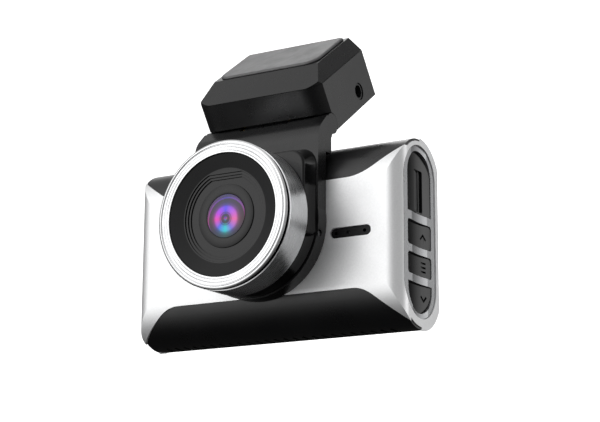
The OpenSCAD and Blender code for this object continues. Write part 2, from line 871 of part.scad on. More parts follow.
module mount_cap() {
    color([0.13, 0.13, 0.14]) mount() difference() {
        intersection() {
            difference() {
                block_form(0);
                block_form(wall);
            }
            block(-30, 30, -5, 40, block_side + gap, 30);
        }
        for (x = [-post_x, post_x], u = post_u)
            translate([x, u, 10]) cylinder(r = thread_r + 0.08, h = 5.2);
    }
}

module adhesive_pad() {
    color([0.2, 0.2, 0.21]) mount()
        translate([0, 0, block_top]) linear_extrude(pad_t)
            union() {
                round_rect(-pad_half, pad_half, pad_u0, pad_u1 - 4, 4);
                round_rect(-pad_half, pad_half, pad_u0 + 8, pad_u1, 1.5);
            }
}

module power_jack() {
    color([0.16, 0.16, 0.17]) mount() difference() {
        union() {
            x_rod(jack_nose_r, block_half - 2.4, block_half - 0.3, jack_u, jack_n);
            block(block_half - 14.5, block_half - wall - 0.1, jack_u - jack_half, jack_u + jack_half,
                  floor_n + wall + gap, jack_n + 3.4);
        }
        x_rod(jack_r, block_half - 0.3 - jack_depth, block_half + 1, jack_u, jack_n);
    }
}

// solder tails out of the back of the power socket
module jack_tails() {
    color([0.8, 0.75, 0.5]) mount()
        for (u = [-2, 0, 2])
            block(block_half - 16.5, block_half - 14.6, jack_u + u - 0.4, jack_u + u + 0.4,
                  jack_n - 0.15, jack_n + 0.15);
}

module gps_board() {
    color([0.04, 0.22, 0.14]) mount() block(-12.5, 12.5, 9, 29.5, 10, 11);
}

module gps_antenna() {
    color([0.75, 0.72, 0.62]) mount() difference() {
        block(-9, 9, 10.5, 28.5, 11.1, 15.1);
        translate([0, 19.5, 14]) cylinder(r = 0.5, h = 4);
    }
}

front_shell();
top_cover();
bottom_cover();
rear_housing();
display_glass();
display_panel();
end_trim();
card_bay();
button_up();
button_menu();
button_down();
tact_switches();
side_board();
card_socket();
memory_card();
main_board();
processor_shield();
backup_capacitors();
speaker();
microphone();
mic_grille();
lens_base();
lens_barrel();
lens_ring();
lens_trim();
lens_cell();
front_element();
rear_element();
image_sensor();
sensor_board();
sensor_flex();
case_screws();
arm();
arm_screws();
arm_side_screws();
hinge_pin();
friction_washers();
mount_housing();
mount_cap();
adhesive_pad();
power_jack();
jack_tails();
gps_board();
gps_antenna();
mount_screws();
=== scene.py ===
"""Dash camera on its windscreen mount: materials, finished pieces, camera and light."""
import json
import math
import bmesh
import bpy
from mathutils import Matrix, Vector

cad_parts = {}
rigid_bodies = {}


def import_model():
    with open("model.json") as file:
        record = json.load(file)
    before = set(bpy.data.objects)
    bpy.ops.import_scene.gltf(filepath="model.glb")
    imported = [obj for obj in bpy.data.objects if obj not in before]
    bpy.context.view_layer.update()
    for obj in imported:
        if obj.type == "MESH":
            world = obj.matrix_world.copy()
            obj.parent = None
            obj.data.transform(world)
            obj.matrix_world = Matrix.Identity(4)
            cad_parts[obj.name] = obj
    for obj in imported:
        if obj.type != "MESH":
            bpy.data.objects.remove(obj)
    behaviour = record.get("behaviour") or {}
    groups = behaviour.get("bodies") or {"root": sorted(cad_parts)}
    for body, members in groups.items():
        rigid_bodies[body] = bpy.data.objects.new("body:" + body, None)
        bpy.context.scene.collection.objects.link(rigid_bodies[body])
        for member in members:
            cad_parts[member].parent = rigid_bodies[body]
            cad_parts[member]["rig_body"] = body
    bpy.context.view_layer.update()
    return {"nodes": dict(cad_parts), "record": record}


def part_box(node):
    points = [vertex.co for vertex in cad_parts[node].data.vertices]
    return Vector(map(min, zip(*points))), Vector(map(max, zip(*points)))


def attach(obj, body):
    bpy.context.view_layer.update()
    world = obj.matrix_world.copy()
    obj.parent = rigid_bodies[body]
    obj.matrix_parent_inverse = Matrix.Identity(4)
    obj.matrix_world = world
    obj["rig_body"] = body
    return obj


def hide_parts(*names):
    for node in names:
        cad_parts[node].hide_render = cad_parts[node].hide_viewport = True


MM = 0.001
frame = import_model()
NODES = frame["nodes"]

# ---- places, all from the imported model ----
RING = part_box("lens_ring")
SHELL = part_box("front_shell")
LENS = Vector((0.0, SHELL[0].y, (RING[0].z + RING[1].z) / 2))  # lens axis at the silver face
PAD_AXIS = Vector(
    next(m for m in frame["record"]["mounts"] if m["name"] == "windscreen_pad")["axis"]
)
TILT = math.atan2(-PAD_AXIS.y, PAD_AXIS.z)
MOUNT_U = Vector((0, math.cos(TILT), math.sin(TILT)))  # up the slope of the mount
PAD_U = 21.05  # distance of the pad's middle along the slope, mm
PAD_TOP = 19.4  # height of the pad's outer face, mm
PAD_BASE = 18.6  # height of the face that it is stuck to, mm
PAD_LENGTH = 21.1  # along the slope, mm


def at_lens(x, ahead, z):
    """A point given in mm across, ahead of the silver face and above the lens axis."""
    return LENS + Vector((x, -ahead, z)) * MM


def at_mount(x, u, n):
    """A point given in mm across, along the mount's slope and square to its pad."""
    return Vector((x * MM, 0, 0)) + MOUNT_U * (u - PAD_U) * MM + PAD_AXIS * (n - PAD_TOP) * MM


# ---- camera ----
CAMERA_PLACE = (0.238297, -0.389089, -0.155629)  # m
CAMERA_AZIMUTH = 30.74  # degrees from straight ahead of the lens, towards +X
CAMERA_ELEVATION = -13.55  # degrees, so it looks up at the object
CAMERA_ROLL = 0.33  # degrees
FOCAL_LENGTH = 99.45  # mm
SENSOR_WIDTH = 36.0  # mm


def make_camera():
    azimuth = math.radians(CAMERA_AZIMUTH)
    elevation = math.radians(CAMERA_ELEVATION)
    roll = math.radians(CAMERA_ROLL)
    back = Vector(
        (
            math.sin(azimuth) * math.cos(elevation),
            -math.cos(azimuth) * math.cos(elevation),
            math.sin(elevation),
        )
    )
    right = Vector((math.cos(azimuth), math.sin(azimuth), 0))
    up = back.cross(right)
    x_axis = right * math.cos(roll) + up * math.sin(roll)
    y_axis = up * math.cos(roll) - right * math.sin(roll)
    data = bpy.data.cameras.new("camera")
    data.lens = FOCAL_LENGTH
    data.sensor_width = SENSOR_WIDTH
    data.clip_start = 0.01
    data.clip_end = 50.0
    obj = bpy.data.objects.new("camera", data)
    bpy.context.scene.collection.objects.link(obj)
    turn = Matrix((x_axis, y_axis, back)).transposed().to_4x4()
    obj.matrix_world = Matrix.Translation(CAMERA_PLACE) @ turn
    bpy.context.scene.camera = obj


make_camera()


# ---- material building blocks ----
class Shader:
    """A Principled material with its nodes added one call at a time."""

    def __init__(self, name):
        self.mat = bpy.data.materials.new(name)
        self.mat.use_nodes = True
        self.tree = self.mat.node_tree
        self.bsdf = self.tree.nodes["Principled BSDF"]
        self.place = self.tree.nodes.new("ShaderNodeTexCoord").outputs["Object"]

    def node(self, kind, **values):
        n = self.tree.nodes.new(kind)
        for key, value in values.items():
            setattr(n, key, value)
        return n

    def link(self, a, b):
        self.tree.links.new(a, b)

    def set(self, **values):
        for key, value in values.items():
            self.bsdf.inputs[key.replace("_", " ")].default_value = value

    def noise(self, scale, detail=3.0, rough=0.55, stretch=None):
        """Noise in object space; stretch scales it by axis."""
        n = self.node("ShaderNodeTexNoise")
        n.inputs["Scale"].default_value = scale
        n.inputs["Detail"].default_value = detail
        n.inputs["Roughness"].default_value = rough
        if stretch:
            m = self.node("ShaderNodeMapping")
            m.inputs["Scale"].default_value = stretch
            self.link(self.place, m.inputs["Vector"])
            self.link(m.outputs["Vector"], n.inputs["Vector"])
        else:
            self.link(self.place, n.inputs["Vector"])
        return n.outputs["Fac"]

    def span(self, fac, low, high, start=0.3, stop=0.7):
        """Map a value from start..stop to low..high."""
        n = self.node("ShaderNodeMapRange")
        n.inputs["From Min"].default_value = start
        n.inputs["From Max"].default_value = stop
        n.inputs["To Min"].default_value = low
        n.inputs["To Max"].default_value = high
        self.link(fac, n.inputs["Value"])
        return n.outputs["Result"]

    def tint(self, fac, dark, light):
        """Let the base colour drift between two close tones."""
        n = self.node("ShaderNodeValToRGB")
        n.color_ramp.elements[0].position = 0.3
        n.color_ramp.elements[0].color = (*dark, 1)
        n.color_ramp.elements[1].position = 0.7
        n.color_ramp.elements[1].color = (*light, 1)
        self.link(fac, n.inputs["Fac"])
        self.link(n.outputs["Color"], self.bsdf.inputs["Base Color"])

    def bump(self, height, strength, depth, under=None):
        """Relief of the given depth in metres, laid over another one if under is given."""
        n = self.node("ShaderNodeBump")
        n.inputs["Strength"].default_value = strength
        n.inputs["Distance"].default_value = depth
        self.link(height, n.inputs["Height"])
        if under is not None:
            self.link(under, n.inputs["Normal"])
        return n.outputs["Normal"]

    def finish(self, normal):
        self.link(normal, self.bsdf.inputs["Normal"])
        return self.mat


def moulded(name, dark, light, rough, grain=0.00035, grain_depth=0.00002, specular=0.5):
    """Moulded plastic: colour drift, fine grain and handled patches."""
    s = Shader(name)
    s.set(Specular_IOR_Level=specular)
    s.tint(s.noise(60, 2), dark, light)
    s.link(s.span(s.noise(110, 4), rough - 0.05, rough + 0.06), s.bsdf.inputs["Roughness"])
    fine = s.bump(s.noise(1 / grain, 2), 0.35, grain_depth)
    return s.finish(s.bump(s.noise(35, 2), 0.15, 0.00003, fine))


def sprayed_silver(name, dark, light, rough, metal):
    """Silver paint: a metallic coat with flakes and a slight orange peel."""
    s = Shader(name)
    s.set(Metallic=metal, Coat_Weight=0.25, Coat_Roughness=0.2)
    s.tint(s.noise(2600, 2, 0.6), dark, light)
    s.link(s.span(s.noise(90, 3), rough - 0.04, rough + 0.05), s.bsdf.inputs["Roughness"])
    flakes = s.bump(s.noise(3200, 1), 0.25, 0.00001)
    return s.finish(s.bump(s.noise(420, 2), 0.12, 0.00001, flakes))


def turned_metal(name, dark, light, rough, line_scale, depth, anisotropic=0.0):
    """Metal turned on a lathe: fine rings about the lens axis."""
    s = Shader(name)
    s.set(Metallic=1.0, Anisotropic=anisotropic)
    round_axis = s.node("ShaderNodeTangent", direction_type="RADIAL", axis="Y")
    s.link(round_axis.outputs["Tangent"], s.bsdf.inputs["Tangent"])
    s.tint(s.noise(140, 3), dark, light)
    rings = s.noise(line_scale, 2, 0.6, stretch=(0.02, 1.0, 0.02))
    s.link(s.span(rings, rough - 0.05, rough + 0.07), s.bsdf.inputs["Roughness"])
    return s.finish(s.bump(rings, 0.3, depth))


def plated(name, dark, light, rough):
    """Plated or stamped metal with a fine uneven surface."""
    s = Shader(name)
    s.set(Metallic=1.0)
    s.tint(s.noise(900, 3), dark, light)
    s.link(s.span(s.noise(700, 4), rough - 0.08, rough + 0.1), s.bsdf.inputs["Roughness"])
    return s.finish(s.bump(s.noise(2400, 2), 0.3, 0.00001))


def circuit(name):
    """Green solder mask with a thin clear coat."""
    s = Shader(name)
    s.set(Coat_Weight=0.4, Coat_Roughness=0.15)
    s.tint(s.noise(700, 2), (0.004, 0.06, 0.022), (0.012, 0.14, 0.055))
    s.link(s.span(s.noise(400, 3), 0.3, 0.5), s.bsdf.inputs["Roughness"])
    return s.finish(s.bump(s.noise(1500, 2), 0.4, 0.00002))


def foam(name):
    """Foam tape under its thin film."""
    s = Shader(name)
    s.set(Specular_IOR_Level=0.5)
    s.tint(s.noise(500, 3), (0.1, 0.1, 0.102), (0.13, 0.13, 0.132))
    s.link(s.span(s.noise(160, 3), 0.36, 0.48), s.bsdf.inputs["Roughness"])
    fine = s.bump(s.noise(2600, 3), 0.3, 0.00002)
    return s.finish(s.bump(s.noise(60, 2), 0.2, 0.00004, fine))


def dark_glass(name, tint=(0.004, 0.004, 0.006)):
    """Polished dark cover glass."""
    s = Shader(name)
    s.set(Coat_Weight=1.0, Coat_Roughness=0.03)
    s.tint(s.noise(40, 2), tint, tuple(c * 1.6 for c in tint))
    s.link(s.span(s.noise(70, 4), 0.05, 0.11), s.bsdf.inputs["Roughness"])
    return s.finish(s.bump(s.noise(25, 1), 0.05, 0.00002))


def fill_ramp(ramp, stops):
    """Set a colour ramp's stops from (place, colour) pairs."""
    ramp.elements[0].position = stops[0][0]
    ramp.elements[0].color = (*stops[0][1], 1)
    ramp.elements[1].position = stops[-1][0]
    ramp.elements[1].color = (*stops[-1][1], 1)
    for place, colour in stops[1:-1]:
        ramp.elements.new(place).color = (*colour, 1)


PAINTED_RINGS_R = 6.2  # mm, reach of the painted reflection rings of the coating on the front glass


def lens_with_painted_reflections(name, centre):
    """Lens glass: dark, with the rings of colour that its coatings reflect painted into its base colour, a
    painted reflection that also glows faintly.
    """
    s = Shader(name)
    s.set(Coat_Weight=0.25, Coat_Roughness=0.04, Specular_IOR_Level=0.35)
    shift = s.node("ShaderNodeVectorMath", operation="SUBTRACT")
    shift.inputs[1].default_value = centre
    s.link(s.place, shift.inputs[0])
    split = s.node("ShaderNodeSeparateXYZ")
    s.link(shift.outputs["Vector"], split.inputs["Vector"])
    flat = s.node("ShaderNodeCombineXYZ")
    s.link(split.outputs["X"], flat.inputs["X"])
    s.link(split.outputs["Z"], flat.inputs["Y"])
    size = s.node("ShaderNodeVectorMath", operation="LENGTH")
    s.link(flat.outputs["Vector"], size.inputs[0])
    angle = s.node("ShaderNodeMath", operation="ARCTAN2")
    s.link(split.outputs["Z"], angle.inputs[0])
    s.link(split.outputs["X"], angle.inputs[1])
    turn = s.span(angle.outputs["Value"], 0.0, 1.0, -math.pi, math.pi)
    wobble = s.noise(260, 3)
    # painted reflection colour round the clock, from the left through the bottom, right and top
    reflection_hues = s.node("ShaderNodeValToRGB")
    stops = [
        (0.00, (0.95, 0.06, 0.55)),
        (0.12, (0.10, 0.16, 0.95)),
        (0.24, (0.02, 0.75, 0.80)),
        (0.34, (0.25, 0.20, 0.90)),
        (0.48, (1.00, 0.16, 0.50)),
        (0.62, (0.55, 0.12, 0.95)),
        (0.75, (0.12, 0.08, 1.00)),
        (0.90, (0.55, 0.05, 0.90)),
        (1.00, (0.95, 0.06, 0.55)),
    ]
    fill_ramp(reflection_hues.color_ramp, stops)
    s.link(turn, reflection_hues.inputs["Fac"])
    # how much painted reflection colour shows, by mm from the middle
    reflection_bands = s.node("ShaderNodeValToRGB")
    rings = [
        (0.0, 0.3), (0.35, 0.5), (0.7, 0.05), (1.3, 0.1), (1.5, 0.6), (1.7, 0.25),
        (2.0, 0.8), (2.7, 1.0), (3.3, 0.9), (3.9, 0.25), (4.6, 0.08),
        (5.5, 0.03), (5.8, 0.4), (5.9, 0.35), (PAINTED_RINGS_R, 0.1),
    ]
    fill_ramp(reflection_bands.color_ramp, [(r / PAINTED_RINGS_R, (v, v, v)) for r, v in rings])
    reach = s.node("ShaderNodeMath", operation="MULTIPLY_ADD")
    s.link(wobble, reach.inputs[0])
    reach.inputs[1].default_value = 0.06
    s.link(s.span(size.outputs["Value"], -0.03, 0.97, 0.0, PAINTED_RINGS_R * MM), reach.inputs[2])
    s.link(reach.outputs["Value"], reflection_bands.inputs["Fac"])
    mix = s.node("ShaderNodeMix", data_type="RGBA")
    mix.inputs["A"].default_value = (0.03, 0.03, 0.032, 1)
    s.link(reflection_bands.outputs["Color"], mix.inputs["Factor"])
    s.link(reflection_hues.outputs["Color"], mix.inputs["B"])
    s.link(mix.outputs["Result"], s.bsdf.inputs["Base Color"])
    # the painted reflection colour also glows faintly through emission, though the glass is no lamp
    s.link(mix.outputs["Result"], s.bsdf.inputs["Emission Color"])
    s.set(Emission_Strength=0.16)
    s.link(s.span(s.noise(90, 3), 0.2, 0.28), s.bsdf.inputs["Roughness"])
    return s.mat


MATERIALS = {
    "silver_shell": sprayed_silver("silver_shell", (0.9, 0.905, 0.91), (0.96, 0.965, 0.97), 0.36, 0.5),
    "silver_trim": sprayed_silver("silver_trim", (0.38, 0.385, 0.395), (0.45, 0.455, 0.465), 0.28, 0.75),
    "black_case": moulded("black_case", (0.006, 0.006, 0.0065), (0.009, 0.009, 0.0095), 0.3),
    "black_mount": moulded("black_mount", (0.005, 0.005, 0.0055), (0.008, 0.008, 0.0085), 0.28),
    "black_arm": moulded("black_arm", (0.005, 0.005, 0.0055), (0.008, 0.008, 0.0085), 0.26, specular=0.42),
    "black_gloss": moulded(
        "black_gloss", (0.003, 0.003, 0.0035), (0.005, 0.005, 0.0055), 0.15, 0.0006, 0.000006, 0.36
    ),
    "black_cone": moulded("black_cone", (0.004, 0.004, 0.0045), (0.006, 0.006, 0.0065), 0.3, specular=0.22),
    "black_key": moulded("black_key", (0.003, 0.003, 0.0035), (0.005, 0.005, 0.0055), 0.12, specular=0.28),
    "display_glass": dark_glass("display_glass"),
    "display_panel": moulded("display_panel", (0.03, 0.033, 0.036), (0.045, 0.048, 0.052), 0.4),
    "switch_metal": plated("switch_metal", (0.45, 0.45, 0.46), (0.62, 0.62, 0.63), 0.3),
    "circuit_board": circuit("circuit_board"),
    "sheet_steel": plated("sheet_steel", (0.5, 0.5, 0.51), (0.66, 0.66, 0.67), 0.32),
    "card_plastic": moulded("card_plastic", (0.01, 0.01, 0.011), (0.016, 0.016, 0.017), 0.45),
    "capacitor_sleeve": moulded("capacitor_sleeve", (0.015, 0.025, 0.09), (0.03, 0.05, 0.15), 0.25),
    "speaker_plastic": moulded("speaker_plastic", (0.02, 0.02, 0.02), (0.03, 0.03, 0.03), 0.5),
    "lens_metal": turned_metal(
        "lens_metal", (0.82, 0.825, 0.835), (0.92, 0.925, 0.935), 0.28, 9000, 0.00001, 0.6
    ),
    "ring_metal": turned_metal(
        "ring_metal", (0.74, 0.745, 0.75), (0.82, 0.82, 0.825), 0.24, 9000, 0.00001, 0.3
    ),
    # the coated glass has its coating's reflections painted into its colour, with a faint glow
    "coated_glass": lens_with_painted_reflections("coated_glass", at_lens(0.3, 0, -0.9)),
    "sensor_glass": dark_glass("sensor_glass", (0.02, 0.015, 0.03)),
    "flex_film": moulded("flex_film", (0.35, 0.17, 0.04), (0.5, 0.26, 0.07), 0.3),
    "screw_steel": plated("screw_steel", (0.28, 0.28, 0.29), (0.42, 0.42, 0.43), 0.34),
    "washer_bronze": plated("washer_bronze", (0.4, 0.28, 0.1), (0.55, 0.4, 0.18), 0.35),
    "pad_foam": foam("pad_foam"),
    "socket_plastic": moulded("socket_plastic", (0.012, 0.012, 0.013), (0.02, 0.02, 0.021), 0.45),
    "contact_brass": plated("contact_brass", (0.5, 0.4, 0.2), (0.68, 0.56, 0.3), 0.3),
    "ceramic": moulded("ceramic", (0.5, 0.45, 0.33), (0.6, 0.55, 0.42), 0.6),
}
SLOT_OF = {p["node"]: p["material_slot"] for p in frame["record"]["subparts"]}


def paint(obj, slot):
    """Give an object its slot's material and no other."""
    obj.data.materials.clear()
    obj.data.materials.append(MATERIALS[slot])


for node_name, node_obj in NODES.items():
    paint(node_obj, SLOT_OF[node_name])


# ---- making pieces ----
def new_piece(name, mesh, node, sharp=35):
    """A piece that stands for a CAD node and takes its material and body."""
    obj = bpy.data.objects.new(name, mesh)
    bpy.context.scene.collection.objects.link(obj)
    mesh.shade_smooth()
    mesh.set_sharp_from_angle(angle=math.radians(sharp))
    weighted = obj.modifiers.new("normals", "WEIGHTED_NORMAL")
    weighted.keep_sharp = True
    paint(obj, SLOT_OF[node])
    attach(obj, NODES[node]["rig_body"])
    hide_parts(node)
    return obj


def as_mesh(bm, name):
    """A mesh with its faces turned outwards."""
    bmesh.ops.recalc_face_normals(bm, faces=bm.faces)
    mesh = bpy.data.meshes.new(name)
    bm.to_mesh(mesh)
    bm.free()
    return mesh


SAME_POINT = 2e-7  # m, points nearer than this are one
FLAT_ANGLE = 0.4  # degrees, faces flatter than this to each other are joined
HARD_ANGLE = 32  # degrees, edges sharper than this are rounded


def soften(node, width):
    """The CAD node with every hard edge rounded by width mm."""
    bm = bmesh.new()
    bm.from_mesh(NODES[node].data)
    bmesh.ops.remove_doubles(bm, verts=bm.verts, dist=SAME_POINT)
    bmesh.ops.dissolve_limit(
        bm, angle_limit=math.radians(FLAT_ANGLE), verts=bm.verts, edges=bm.edges, delimit=set()
    )
    hard = [
        e for e in bm.edges
        if len(e.link_faces) == 2 and e.calc_face_angle(0) > math.radians(HARD_ANGLE)
    ]
    bmesh.ops.bevel(
        bm, geom=hard, offset=width * MM, segments=2, profile=0.5,
        affect="EDGES", clamp_overlap=True, miter_outer="SHARP",
    )
    mesh = as_mesh(bm, node + "_soft")
    return new_piece(node + "_finished", mesh, node, sharp=50)


def lathe(name, node, profile, steps=160, radius=None):
    """A solid turned about the lens axis. profile is a closed loop of (radius, ahead) in mm;
    radius(i, angle), where given, returns a ring's own radius at that angle."""
    bm = bmesh.new()
    rings = []
    for i, (r, ahead) in enumerate(profile):
        if r < 1e-6:
            rings.append([bm.verts.new(at_lens(0, ahead, 0))])
            continue
        loop = []
        for k in range(steps):
            a = 2 * math.pi * k / steps
            rr = radius(i, a) if radius else r
            loop.append(bm.verts.new(at_lens(rr * math.cos(a), ahead, rr * math.sin(a))))
        rings.append(loop)
    pairs = list(zip(rings, rings[1:]))
    if len(rings[0]) > 1 and len(rings[-1]) > 1:
        pairs.append((rings[-1], rings[0]))
    for a, b in pairs:
        for k in range(steps):
            n = (k + 1) % steps
            if len(a) == 1:
                bm.faces.new((a[0], b[k], b[n]))
            elif len(b) == 1:
                bm.faces.new((a[k], b[0], a[n]))
            else:
                bm.faces.new((a[k], b[k], b[n], a[n]))
    return new_piece(name, as_mesh(bm, name), node)


def arc(centre, radius, start, stop, count):
    """Points of an arc, angles in degrees."""
    out = []
    for k in range(count + 1):
        a = math.radians(start + (stop - start) * k / count)
        out.append((centre[0] + radius * math.cos(a), centre[1] + radius * math.sin(a)))
    return out


def fillet(points, radii, steps):
    """A closed outline with each corner rounded by its own radius."""
    out = []
    count = len(points)
    for k in range(count):
        p = Vector(points[k])
        r = radii[k]
        a = (Vector(points[k - 1]) - p).normalized()
        b = (Vector(points[(k + 1) % count]) - p).normalized()
        half = math.acos(max(-1, min(1, a.dot(b)))) / 2
        reach = r / math.tan(half)
        middle = p + (a + b).normalized() * (r / math.sin(half))
        p0 = p + a * reach - middle
        p1 = p + b * reach - middle
        a0 = math.atan2(p0.y, p0.x)
        sweep = math.atan2(p1.y, p1.x) - a0
        while sweep > math.pi:
            sweep -= 2 * math.pi
        while sweep < -math.pi:
            sweep += 2 * math.pi
        for s in range(steps + 1):
            t = a0 + sweep * s / steps
            out.append((middle.x + r * math.cos(t), middle.y + r * math.sin(t)))
    return out


def stack(name, node, layers, place, sharp):
    """A solid from a stack of outlines with the same number of points: [(outline, height)]."""
    bm = bmesh.new()
    loops = [[bm.verts.new(place(x, y, h)) for x, y in outline] for outline, h in layers]
    count = len(loops[0])
    for a, b in zip(loops, loops[1:]):
        for k in range(count):
            n = (k + 1) % count
            bm.faces.new((a[k], a[n], b[n], b[k]))
    bm.faces.new(loops[0])
    bm.faces.new(loops[-1])
    return new_piece(name, as_mesh(bm, name), node, sharp)


# ---- lens ----
RING_R = (RING[1].x - RING[0].x) / 2 / MM
RING_FRONT = (LENS.y - RING[0].y) / MM


def groove(r, width, depth, front):
    """A V turned into the ring's face."""
    return [(r - width / 2, front), (r, front - depth), (r + width / 2, front)]


RIM_DROP = 2.05  # barrel's front edge behind the ring's face, mm


RING_BACK = 0.58  # ring's back face behind its front, mm
RING_INNER = 17.0  # ring's inner radius, mm
GROOVES = [(17.62, 0.42), (18.5, 0.42), (19.4, 0.56)]  # radius and width, mm
GROOVE_DEPTH = 0.34  # mm
BARREL_WALL = 1.6  # mm
BARREL_BORE = 8.8  # radius, mm
BARREL_HUB = 10.6  # radius of the tube round the bore, mm


def lens_ring():
    """Chrome ring with three fine grooves in its face."""
    f = RING_FRONT
    back = f - RING_BACK
    face = [(RING_INNER, back), (RING_INNER, f - 0.12), (RING_INNER + 0.1, f)]
    for r, width in GROOVES:
        face += groove(r, width, GROOVE_DEPTH, f)
    # rounded outer edge
    face += [(19.85, f), (20.1, f - 0.06), (20.4, f - 0.3), (RING_R, f - 0.42), (RING_R, f - 0.52)]
    face += [(RING_R - 0.08, back)]
    return lathe("lens_ring_turned", "lens_ring", face, 192)


def lens_barrel():
    """Turned barrel whose front edge falls away inwards."""
    lo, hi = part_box("lens_barrel")
    front = RING_FRONT - RIM_DROP
    back = (LENS.y - hi.y) / MM
    r = (hi.x - lo.x) / 2 / MM
    inside = r - BARREL_WALL
    floor_at = back + BARREL_WALL
    hub_front = RING_FRONT - 4.1
    outline = [
        (BARREL_BORE, back), (r - 0.45, back), (r - 0.12, back + 0.12), (r, back + 0.45),
        (r, front - 0.3), (r - 0.06, front - 0.08), (r - 0.3, front),
        (inside, front - 1.4), (inside, floor_at),
        (BARREL_HUB, floor_at), (BARREL_HUB, hub_front), (BARREL_BORE, hub_front),
    ]
    return lathe("lens_barrel_turned", "lens_barrel", outline, 192)


TRIM_STEPS = [(12.75, 11.6), (12.0, 10.87), (11.3, 10.2)]  # radius, height of the flat top, mm
STEP_DROP = 0.34  # mm
CONE_INNER = 13.15  # radius where the matt cone ends, mm


def lens_trim():
    """Black cone, three steps cut flat at the top, and the raised rim round the glass."""
    f = RING_FRONT
    top = f - 1.6
    rings = [(16.9, f - 0.62, None), (16.9, f - 0.42, None), (16.75, f - 0.36, None)]
    rings += [(13.3, f - 1.5, None), (13.1, f - 1.58, None), (13.0, top, None)]
    level = top
    for r, flat in TRIM_STEPS:
        rings.append((r + 0.04, level, flat + 0.04))
        rings.append((r, level - 0.04, flat))
        level -= STEP_DROP
        rings.append((r, level, flat))
    # raised rim round the front glass, then the back of the steps
    rings += [(8.8, level, None), (8.72, level + 0.26, None), (8.66, level + 0.3, None)]
    rings += [(6.7, level + 0.3, None), (6.2, level + 0.28, None), (6.05, level + 0.2, None)]
    rings += [(6.05, f - 3.6, None), (13.2, f - 3.6, None), (16.0, f - 4.0, None)]
    # dark carrier behind the ring, which lines the barrel's hollow front edge
    rim = f - RIM_DROP
    rings += [(18.75, f - 4.0, None), (18.75, rim - 1.42, None), (18.86, rim - 1.34, None)]
    rings += [(20.15, rim - 0.02, None), (20.15, rim + 0.04, None), (18.95, rim - 1.2, None)]
    rings += [(18.9, rim - 1.1, None), (18.9, f - 0.65, None), (16.95, f - 0.65, None)]

    def radius(i, a):
        """Radius of a ring at an angle, cut off at the step's flat top."""
        r, _, flat = rings[i]
        rise = math.sin(a)
        if flat is None or rise <= 0:
            return r
        return min(r, flat / rise)

    obj = lathe("lens_trim_stepped", "lens_trim", [(r, y) for r, y, _ in rings], 240, radius)
    obj.data.materials.append(MATERIALS["black_cone"])
    for face in obj.data.polygons:
        offset = face.center - LENS
        if math.hypot(offset.x, offset.z) > CONE_INNER * MM:
            face.material_index = 1
    return obj


def front_element():
    """Domed front glass with a ground edge."""
    lo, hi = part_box("front_element")
    recess = 0.75
    tip = (LENS.y - lo.y) / MM - recess
    back = (LENS.y - hi.y) / MM
    r = (hi.x - lo.x) / 2 / MM
    sphere = 30.0
    count = 24
    profile = [(0.0, tip)]
    for k in range(1, count + 1):
        rr = (r - 0.08) * k / count
        profile.append((rr, tip - sphere + math.sqrt(sphere * sphere - rr * rr)))
    edge = profile[-1][1]
    profile += [(r, edge - 0.1), (r, back + 0.1), (r - 0.1, back), (0.0, back)]
    return lathe("front_element_domed", "front_element", profile, 160)


def shroud_outline(half, top, corner, low):
    """Rounded square above, round below."""
    pts = arc((half - corner, top - corner), corner, 0, 90, 10)
    pts += arc((-half + corner, top - corner), corner, 90, 180, 10)
    start = 180 + math.degrees(math.acos(min(1, half / low))) * 0.999
    pts += arc((0, 0), low, start, 540 - start, 60)
    return pts


SHROUD_HALF = 19.0  # mm
SHROUD_TOP = 18.5  # mm above the lens axis
SHROUD_CORNER = 4.5  # mm
SHROUD_LOW = 19.75  # radius of its round lower part, mm


def lens_base():
    """Shroud behind the barrel, flaring towards the arm."""
    lo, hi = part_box("lens_base")
    front = (LENS.y - lo.y) / MM
    back = (LENS.y - hi.y) / MM
    layers = []
    for k in range(9):
        t = k / 8
        ahead = back + (front - 0.8 - back) * t
        flare = (1 - t) ** 2
        outline = shroud_outline(
            SHROUD_HALF + 0.75 * flare, SHROUD_TOP + 1.3 * flare, SHROUD_CORNER, SHROUD_LOW + 0.3 * flare
        )
        layers.append((outline, ahead))
    # rounded front edge
    for inset, step in [(0.05, 0.5), (0.22, 0.22), (0.5, 0.05), (0.8, 0.0)]:
        outline = shroud_outline(
            SHROUD_HALF - inset, SHROUD_TOP - inset, SHROUD_CORNER - inset, SHROUD_LOW - inset
        )
        layers.append((outline, front - step))
    return stack("lens_shroud", "lens_base", layers, lambda x, y, h: at_lens(x, h, y), 40)


lens_ring()
lens_barrel()
lens_trim()
front_element()
lens_base()


# ---- mount ----
PAD_CORNERS = [4, 4, 1.5, 1.5]  # radii, the two lower corners first, mm


def pad():
    """Foam pad with its soft edge, stuck to the sloping face."""
    lo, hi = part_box("adhesive_pad")
    half = (hi.x - lo.x) / 2 / MM
    u0 = PAD_U - PAD_LENGTH / 2
    u1 = PAD_U + PAD_LENGTH / 2
    corners = [(-half, u0), (half, u0), (half, u1), (-half, u1)]
    layers = []
    # how far the edge draws in, by height above the slope
    edge = [(0.15, 0.0), (0.0, 0.15), (0.0, 0.35), (0.14, 0.55), (0.36, 0.7), (0.62, 0.8)]
    for inset, rise in edge:
        shape = [(x - math.copysign(inset, x), u + (inset if u < PAD_U else -inset)) for x, u in corners]
        radii = [corner - inset for corner in PAD_CORNERS]
        layers.append((fillet(shape, radii, 10), PAD_BASE + rise))
    obj = stack("adhesive_pad_foam", "adhesive_pad", layers, at_mount, 60)
    return obj


pad()

# ---- small parts with rounded edges ----
for node_name, width in [
    ("card_bay", 0.08),
    ("button_up", 0.08),
    ("button_menu", 0.08),
    ("button_down", 0.08),
    ("display_glass", 0.15),
    ("memory_card", 0.06),
    ("power_jack", 0.08),
    ("case_screws", 0.05),
    ("arm_side_screws", 0.04),
]:
    soften(node_name, width)
